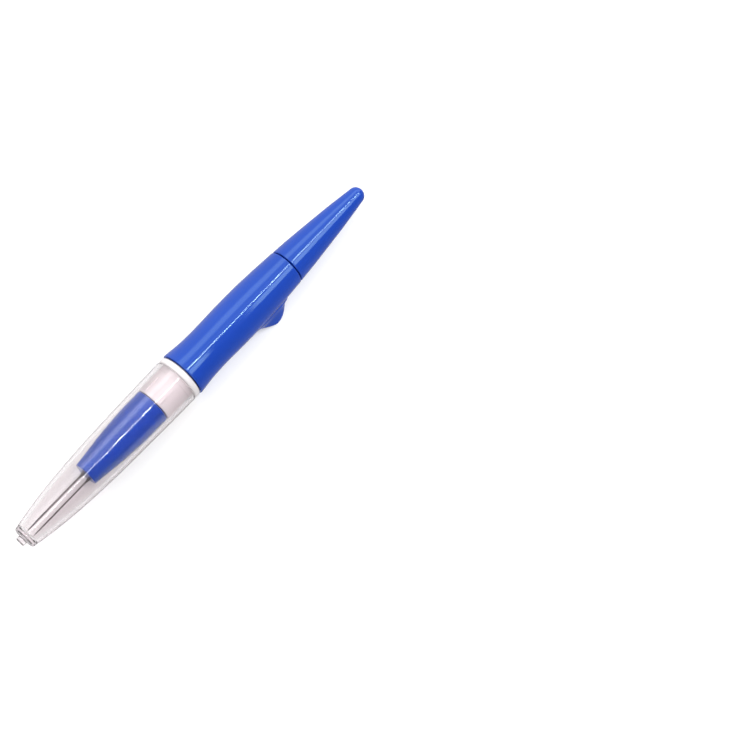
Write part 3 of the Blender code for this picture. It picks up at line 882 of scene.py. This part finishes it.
def needle_steel():
    """Hardened steel with fine grinding marks along the needle."""
    material, tree, shader = new_material("needle_steel")
    marks = noise(tree, scale=1.2, detail=4.0, stretch=(0.15, 6.0, 6.0))
    tree.links.new(ramp(tree, marks, *STEEL), shader.inputs["Base Color"])
    tree.links.new(ramp(tree, marks, *STEEL_ROUGHNESS), shader.inputs["Roughness"])
    shader.inputs["Metallic"].default_value = 1.0
    scratches = bump(tree, marks, strength=0.3, distance_mm=0.01)
    tree.links.new(scratches, shader.inputs["Normal"])
    return material


# ---------------------------------------------------------------- stage

LIGHT_TARGET = (0.0, 0.0, 0.01)
# Brightness of the studio by the angle from straight up towards +Y, in degrees.
STUDIO = (
    (-180.0, 0.5), (-130.0, 0.4), (-90.0, 0.2), (-40.0, 0.2), (-16.0, 0.25), (-8.0, 1.1),
    (10.0, 1.0), (20.0, 2.6), (34.0, 2.6), (46.0, 1.0), (90.0, 0.9), (180.0, 0.5),
)
CAMERA_AZIMUTH = -48.72        # degrees
CAMERA_ELEVATION = 71.18
CAMERA_DISTANCE = 0.808        # metres
CAMERA_TARGET = (0.0384, -0.0462, 0.0)
CAMERA_LENS = 114.4            # focal length and sensor width, in millimetres
CAMERA_SENSOR = 36.0


def make_floor():
    mesh = bpy.data.meshes.new("floor")
    half = FLOOR_HALF_SIZE
    corners = [(-half, -half, 0.0), (half, -half, 0.0), (half, half, 0.0), (-half, half, 0.0)]
    mesh.from_pydata(corners, [], [(0, 1, 2, 3)])
    floor = bpy.data.objects.new("floor", mesh)
    bpy.context.scene.collection.objects.link(floor)
    material, tree, shader = new_material("floor_paint")
    pale = ramp(tree, noise(tree, scale=0.02), *FLOOR)
    tree.links.new(pale, shader.inputs["Base Color"])
    shader.inputs["Emission Color"].default_value = (1.0, 1.0, 1.0, 1.0)
    shader.inputs["Emission Strength"].default_value = FLOOR_GLOW
    shader.inputs["Roughness"].default_value = FLOOR_ROUGHNESS
    mesh.materials.append(material)
    floor.visible_glossy = False


def add_panel(name, angle_deg, shift, distance, length, width, power, target):
    """Soft panel along the pen, turned angle_deg from straight up towards -Y.

    It is shifted along +X from the target, at a distance from it, in metres.
    """
    light = bpy.data.lights.new(name, "AREA")
    light.shape = "RECTANGLE"
    light.size = length
    light.size_y = width
    light.energy = power
    panel = bpy.data.objects.new(name, light)
    bpy.context.scene.collection.objects.link(panel)
    angle = math.radians(angle_deg)
    offset = Vector((shift, -math.sin(angle) * distance, math.cos(angle) * distance))
    panel.location = Vector(target) + offset
    back = offset.normalized()
    lengthways = Vector((1.0, 0.0, 0.0))
    lengthways = (lengthways - back * lengthways.dot(back)).normalized()
    sideways = back.cross(lengthways)
    turn = Matrix((lengthways, sideways, back)).transposed()
    panel.rotation_mode = "QUATERNION"
    panel.rotation_quaternion = turn.to_quaternion()


def add_lamp(name, place, size, power, target):
    """Square area light at a place, turned towards the target."""
    light = bpy.data.lights.new(name, "AREA")
    light.size = size
    light.energy = power
    lamp = bpy.data.objects.new(name, light)
    bpy.context.scene.collection.objects.link(lamp)
    lamp.location = place
    lamp.rotation_mode = "QUATERNION"
    lamp.rotation_quaternion = (Vector(target) - lamp.location).to_track_quat("-Z", "Y")


def make_world():
    """Studio walls: bright above and on the +Y side, dim on the -Y side."""
    world = bpy.data.worlds.new("studio")
    bpy.context.scene.world = world
    world.use_nodes = True
    tree = world.node_tree
    coordinates = tree.nodes.new("ShaderNodeTexCoord")
    split = tree.nodes.new("ShaderNodeSeparateXYZ")
    angle = tree.nodes.new("ShaderNodeMath")
    angle.operation = "ARCTAN2"
    place = tree.nodes.new("ShaderNodeMapRange")
    place.inputs["From Min"].default_value = -math.pi
    place.inputs["From Max"].default_value = math.pi
    walls = tree.nodes.new("ShaderNodeValToRGB")
    walls.color_ramp.interpolation = "EASE"
    brightest = max(level for _, level in STUDIO)
    elements = walls.color_ramp.elements
    for index, (degrees, level) in enumerate(STUDIO):
        position = (degrees + 180.0) / 360.0
        if index in (0, len(STUDIO) - 1):
            element = elements[0 if index == 0 else -1]
            element.position = position
        else:
            element = elements.new(position)
        element.color = (level / brightest, level / brightest, level / brightest, 1.0)
    tree.links.new(coordinates.outputs["Generated"], split.inputs["Vector"])
    tree.links.new(split.outputs["Y"], angle.inputs[0])
    tree.links.new(split.outputs["Z"], angle.inputs[1])
    tree.links.new(angle.outputs["Value"], place.inputs["Value"])
    tree.links.new(place.outputs["Result"], walls.inputs["Fac"])
    background = tree.nodes["Background"]
    tree.links.new(walls.outputs["Color"], background.inputs["Color"])
    background.inputs["Strength"].default_value = brightest


def make_lights():
    """Strip and band that the barrel reflects, and a fill from the cap's side."""
    add_panel(
        "strip", angle_deg=16.5, shift=0.35, distance=0.9, length=1.7, width=0.020,
        power=6.6, target=LIGHT_TARGET,
    )
    add_panel(
        "rear_band", angle_deg=36.0, shift=0.61, distance=0.9, length=0.62, width=0.36,
        power=2.6, target=LIGHT_TARGET,
    )
    add_lamp("fill", place=(-0.75, -0.5, 0.43), size=0.5, power=1.8, target=LIGHT_TARGET)


def make_camera():
    camera = bpy.data.cameras.new("camera")
    camera.lens = CAMERA_LENS
    camera.sensor_width = CAMERA_SENSOR
    obj = bpy.data.objects.new("camera", camera)
    bpy.context.scene.collection.objects.link(obj)
    azimuth = math.radians(CAMERA_AZIMUTH)
    elevation = math.radians(CAMERA_ELEVATION)
    back = Vector((
        math.sin(azimuth) * math.cos(elevation),
        -math.cos(azimuth) * math.cos(elevation),
        math.sin(elevation),
    ))
    obj.location = Vector(CAMERA_TARGET) + back * CAMERA_DISTANCE
    obj.rotation_mode = "QUATERNION"
    obj.rotation_quaternion = (-back).to_track_quat("-Z", "Y")
    bpy.context.scene.camera = obj


blue = moulded_plastic("blue_plastic", BLUE, BLUE_ROUGHNESS, BLUE_WAVES, BLUE_GLOSS)
white = moulded_plastic("white_plastic", WHITE, WHITE_ROUGHNESS, WHITE_WAVES)
clear = clear_plastic()
steel = needle_steel()

make_cap(clear)
make_nose(blue)
make_needles(steel)
make_holder(white)
make_retainer(white)
make_barrel(blue)
make_tail(blue)
make_floor()
make_lights()
make_world()
make_camera()
bpy.context.scene.view_settings.view_transform = "Standard"
